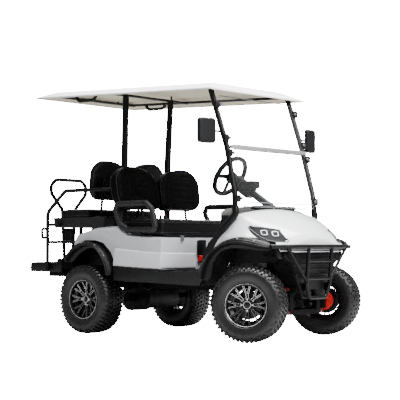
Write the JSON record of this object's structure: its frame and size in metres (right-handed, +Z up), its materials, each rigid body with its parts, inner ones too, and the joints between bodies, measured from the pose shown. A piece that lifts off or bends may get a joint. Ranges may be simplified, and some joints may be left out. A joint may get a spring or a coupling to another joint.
{
  "type": "four-seat electric golf cart",
  "caption": "Lifted golf cart with two rows of seats back to back, a flat roof on struts, a folding clear screen, a tubular front guard and a rear foot platform.",
  "frame": {"origin": "on the ground under the middle of the cart, midway along its length and across its width", "axes": "+X forwards, +Y to the left, +Z up; the front wheels stand steered to the left"},
  "size_m": [2.9108, 1.5558, 2.117],
  "materials": {
    "tyre_rubber": "matt",
    "rim_black": "gloss",
    "body_white": "pearl gloss",
    "moulded_black": "grained",
    "coated_steel": "satin",
    "cast_metal": "satin",
    "red_coat": "gloss",
    "seat_vinyl": "grained",
    "clear_screen": "clear",
    "screen_rail": "satin",
    "lamp_front": "dark lens",
    "lamp_rear": "red lens"
  },
  "bodies": {
    "chassis": {"armrests": "moulded_black", "battery": "moulded_black", "brush_guard": "coated_steel", "cowl_trim": "moulded_black", "dashboard": "moulded_black", "floor_pan": "moulded_black", "foot_platform": "moulded_black", "frame": "coated_steel", "front_arms": "red_coat", "front_cowl": "body_white", "front_fascia": "moulded_black", "front_flares": "moulded_black", "front_seat_backs": "seat_vinyl", "front_shocks": "coated_steel", "front_struts": "coated_steel", "front_wheel_liners": "moulded_black", "grab_hoop": "coated_steel", "grab_rails": "coated_steel", "headlamps": "lamp_front", "leaf_springs": "coated_steel", "mirrors": "moulded_black", "pedals": "moulded_black", "rack_housing": "coated_steel", "rear_axle": "cast_metal", "rear_body": "body_white", "rear_flares": "moulded_black", "rear_seat_backs": "seat_vinyl", "rear_seat_base": "moulded_black", "rear_seat_legs": "coated_steel", "rear_shocks": "coated_steel", "rear_struts": "coated_steel", "rear_wheel_liners": "moulded_black", "rockers": "moulded_black", "roof": "body_white", "roof_frame": "coated_steel", "seat_back_frame": "coated_steel", "steering_column": "moulded_black", "tail_lamps": "lamp_rear", "windshield": "clear_screen", "windshield_rail": "screen_rail"},
    "seat_lid": {"front_seat_cushion": "seat_vinyl"},
    "rear_seat_lid": {"rear_seat_cushion": "seat_vinyl"},
    "steering_wheel": {"steering_wheel": "moulded_black"},
    "rack": {"rack_bar": "coated_steel"},
    "knuckle_left": {"knuckle_left": "coated_steel", "brake_left": "red_coat"},
    "wheel_front_left": {"tyre_front_left": "tyre_rubber", "rim_front_left": "rim_black"},
    "wheel_rear_left": {"tyre_rear_left": "tyre_rubber", "rim_rear_left": "rim_black"},
    "knuckle_right": {"knuckle_right": "coated_steel", "brake_right": "red_coat"},
    "wheel_front_right": {"tyre_front_right": "tyre_rubber", "rim_front_right": "rim_black"},
    "wheel_rear_right": {"tyre_rear_right": "tyre_rubber", "rim_rear_right": "rim_black"}
  },
  "joints": [
    {"name": "steer_left", "type": "hinge", "parent": "chassis", "child": "knuckle_left", "pos_m": [1.111, 0.464, 0.292], "axis": [0, 0, 1], "range_deg": [-52.6, 7.4]},
    {"name": "steer_right", "type": "hinge", "parent": "chassis", "child": "knuckle_right", "pos_m": [1.111, -0.464, 0.292], "axis": [0, 0, 1], "range_deg": [-52.6, 7.4]},
    {"name": "rack_slide", "type": "slide", "parent": "chassis", "child": "rack", "axis": [0, 1, 0], "range_m": [-0.014, 0.097]},
    {"name": "steering_wheel_turn", "type": "hinge", "parent": "chassis", "child": "steering_wheel", "pos_m": [0.262, 0.3, 1.345], "axis": [-0.848, 0, 0.5299], "range_deg": [-421.8, 60.2]},
    {"name": "seat_lid_hinge", "type": "hinge", "parent": "chassis", "child": "seat_lid", "pos_m": [0.21, 0, 0.831], "axis": [0, 1, 0], "range_deg": [0, 50]},
    {"name": "rear_seat_lid_hinge", "type": "hinge", "parent": "chassis", "child": "rear_seat_lid", "pos_m": [-1.1, 0, 0.995], "axis": [0, -1, 0], "range_deg": [0, 85]},
    {"name": "spin_front_left", "type": "hinge", "parent": "knuckle_left", "child": "wheel_front_left", "pos_m": [1.06873, 0.56555, 0.292], "axis": [-0.3843, 0.9232, 0], "continuous": true},
    {"name": "spin_rear_left", "type": "hinge", "parent": "chassis", "child": "wheel_rear_left", "pos_m": [-0.549, 0.574, 0.292], "axis": [0, 1, 0], "continuous": true},
    {"name": "spin_front_right", "type": "hinge", "parent": "knuckle_right", "child": "wheel_front_right", "pos_m": [1.15327, -0.56555, 0.292], "axis": [-0.3843, 0.9232, 0], "continuous": true},
    {"name": "spin_rear_right", "type": "hinge", "parent": "chassis", "child": "wheel_rear_right", "pos_m": [-0.549, -0.574, 0.292], "axis": [0, 1, 0], "continuous": true}
  ],
  "couplings": [
    {"joint": "steer_right", "follows": "steer_left", "ratio": 1},
    {"joint": "rack_slide", "follows": "steer_left", "m_per_rad": -0.105},
    {"joint": "steering_wheel_turn", "follows": "steer_left", "ratio": 8}
  ]
}
